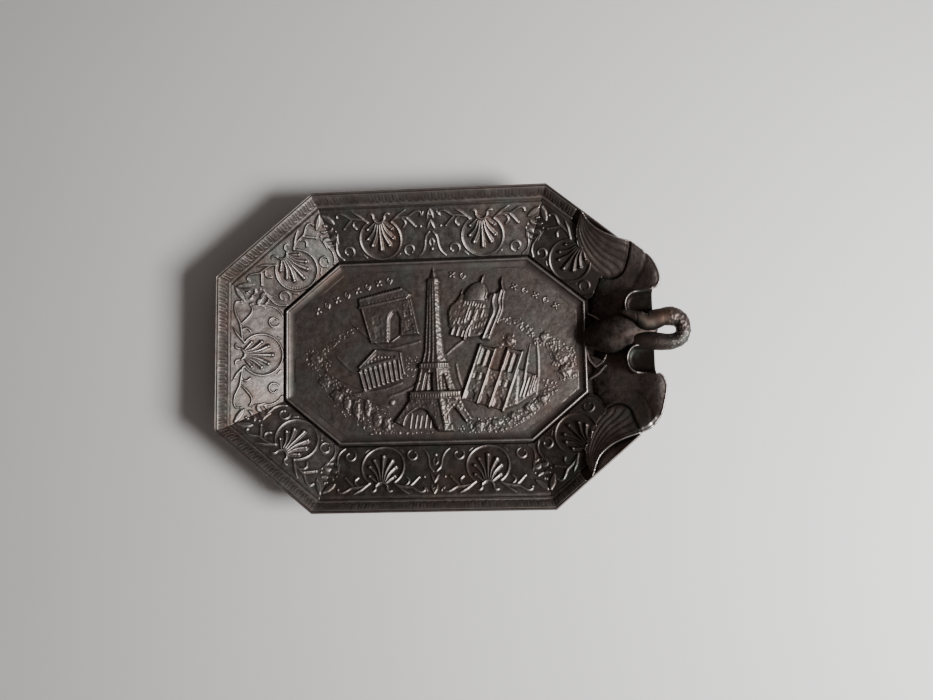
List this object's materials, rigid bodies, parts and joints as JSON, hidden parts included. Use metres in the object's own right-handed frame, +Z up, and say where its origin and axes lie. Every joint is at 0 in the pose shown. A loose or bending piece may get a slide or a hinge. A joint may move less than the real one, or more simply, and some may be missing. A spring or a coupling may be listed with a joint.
{
  "type": "souvenir tray",
  "caption": "Elongated octagonal cast-metal souvenir tray with landmarks in relief on its floor, an ornamental frieze, and a swan with spread wings and a curled neck at one end.",
  "frame": {"origin": "centre of the tray's octagon on its flat underside", "axes": "+X along the tray towards the swan, +Y towards the long side that the landmarks' tops point to, +Z up out of the dish"},
  "size_m": [0.1411, 0.096, 0.017],
  "materials": {
    "dark_metal": "cast white metal with a dark brown-black patina, dull, slightly worn on edges",
    "worn_metal": "the same metal rubbed bright grey on its raised lines, semi-gloss",
    "relief_metal": "dark grey-brown patina in the hollows, rubbed silvery on the tops of the relief",
    "frieze_metal": "mottled grey-green and brown patina with bright rubbed ornament",
    "swan_metal": "dark brown-black patina with a satin sheen, stippled on the neck"
  },
  "bodies": {
    "root": {"dish": "dark_metal", "rim_moulding": "worn_metal", "plaque_frame": "worn_metal", "plaque": "relief_metal", "frieze_back_right": "frieze_metal", "frieze_back": "frieze_metal", "frieze_back_left": "frieze_metal", "frieze_left": "frieze_metal", "frieze_front_left": "frieze_metal", "frieze_front": "frieze_metal", "frieze_front_right": "frieze_metal", "lattice_tower": "relief_metal", "triumphal_arch": "relief_metal", "colonnaded_temple": "relief_metal", "domed_basilica": "relief_metal", "twin_tower_cathedral": "relief_metal", "left_trees": "relief_metal", "right_trees": "relief_metal", "rosette_band_left": "relief_metal", "rosette_band_centre": "relief_metal", "rosette_band_right": "relief_metal", "swan_body": "swan_metal", "swan_neck": "swan_metal", "swan_head": "swan_metal", "left_wing": "swan_metal", "right_wing": "swan_metal", "left_leg": "swan_metal", "right_leg": "swan_metal", "left_cigarette_rest": "swan_metal", "right_cigarette_rest": "swan_metal"}
  },
  "joints": []
}
